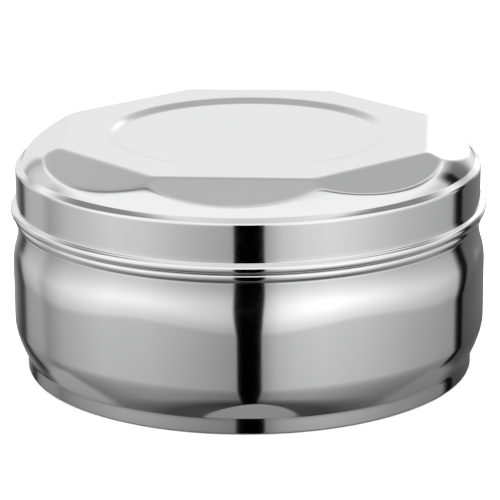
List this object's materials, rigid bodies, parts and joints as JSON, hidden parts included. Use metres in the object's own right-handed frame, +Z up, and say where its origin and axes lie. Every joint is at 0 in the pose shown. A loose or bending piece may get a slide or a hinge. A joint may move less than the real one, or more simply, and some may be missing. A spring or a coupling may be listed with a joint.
{
  "type": "round spice box with lift-off lid",
  "caption": "Round panelled steel spice box with an octagonal-topped lift-off lid, an inner plate lid with a knob, round cups and a small spoon.",
  "frame": {"origin": "centre of the foot ring's underside, on the surface the box stands on", "axes": "+Z up along the axis of the round box, -Y towards the front, where a ridge of the panelled belly faces; +X to the right seen from the front"},
  "size_m": [0.2, 0.2, 0.0995],
  "materials": {
    "polished_steel": "mirror-polished stainless steel",
    "satin_steel": "bright stainless steel with fine drawing marks"
  },
  "bodies": {
    "box": {"box_body": "polished_steel"},
    "cup_centre": {"cup_centre": "satin_steel"},
    "cup_1": {"cup_1": "satin_steel"},
    "cup_2": {"cup_2": "satin_steel"},
    "cup_3": {"cup_3": "satin_steel"},
    "cup_4": {"cup_4": "satin_steel"},
    "cup_5": {"cup_5": "satin_steel"},
    "cup_6": {"cup_6": "satin_steel"},
    "inner_lid": {"inner_lid": "satin_steel", "knob": "polished_steel", "knob_rivet": "satin_steel"},
    "spoon": {"spoon": "polished_steel"},
    "outer_lid": {"outer_lid": "polished_steel"}
  },
  "joints": [
    {"name": "cups_lift", "type": "slide", "parent": "box", "child": "cup_centre", "axis": [0, 0, 1], "range_m": [0, 0.1]},
    {"name": "cup_1_lift", "type": "slide", "parent": "box", "child": "cup_1", "axis": [0, 0, 1], "range_m": [0, 0.1]},
    {"name": "cup_2_lift", "type": "slide", "parent": "box", "child": "cup_2", "axis": [0, 0, 1], "range_m": [0, 0.1]},
    {"name": "cup_3_lift", "type": "slide", "parent": "box", "child": "cup_3", "axis": [0, 0, 1], "range_m": [0, 0.1]},
    {"name": "cup_4_lift", "type": "slide", "parent": "box", "child": "cup_4", "axis": [0, 0, 1], "range_m": [0, 0.1]},
    {"name": "cup_5_lift", "type": "slide", "parent": "box", "child": "cup_5", "axis": [0, 0, 1], "range_m": [0, 0.1]},
    {"name": "cup_6_lift", "type": "slide", "parent": "box", "child": "cup_6", "axis": [0, 0, 1], "range_m": [0, 0.1]},
    {"name": "inner_lid_lift", "type": "slide", "parent": "cup_centre", "child": "inner_lid", "axis": [0, 0, 1], "range_m": [0, 0.06]},
    {"name": "spoon_lift", "type": "slide", "parent": "inner_lid", "child": "spoon", "axis": [0, 0, 1], "range_m": [0, 0.04]},
    {"name": "outer_lid_lift", "type": "slide", "parent": "spoon", "child": "outer_lid", "axis": [0, 0, 1], "range_m": [0, 0.12]}
  ],
  "couplings": [
    {"joint": "cup_1_lift", "follows": "cups_lift", "ratio": 1},
    {"joint": "cup_2_lift", "follows": "cups_lift", "ratio": 1},
    {"joint": "cup_3_lift", "follows": "cups_lift", "ratio": 1},
    {"joint": "cup_4_lift", "follows": "cups_lift", "ratio": 1},
    {"joint": "cup_5_lift", "follows": "cups_lift", "ratio": 1},
    {"joint": "cup_6_lift", "follows": "cups_lift", "ratio": 1}
  ]
}
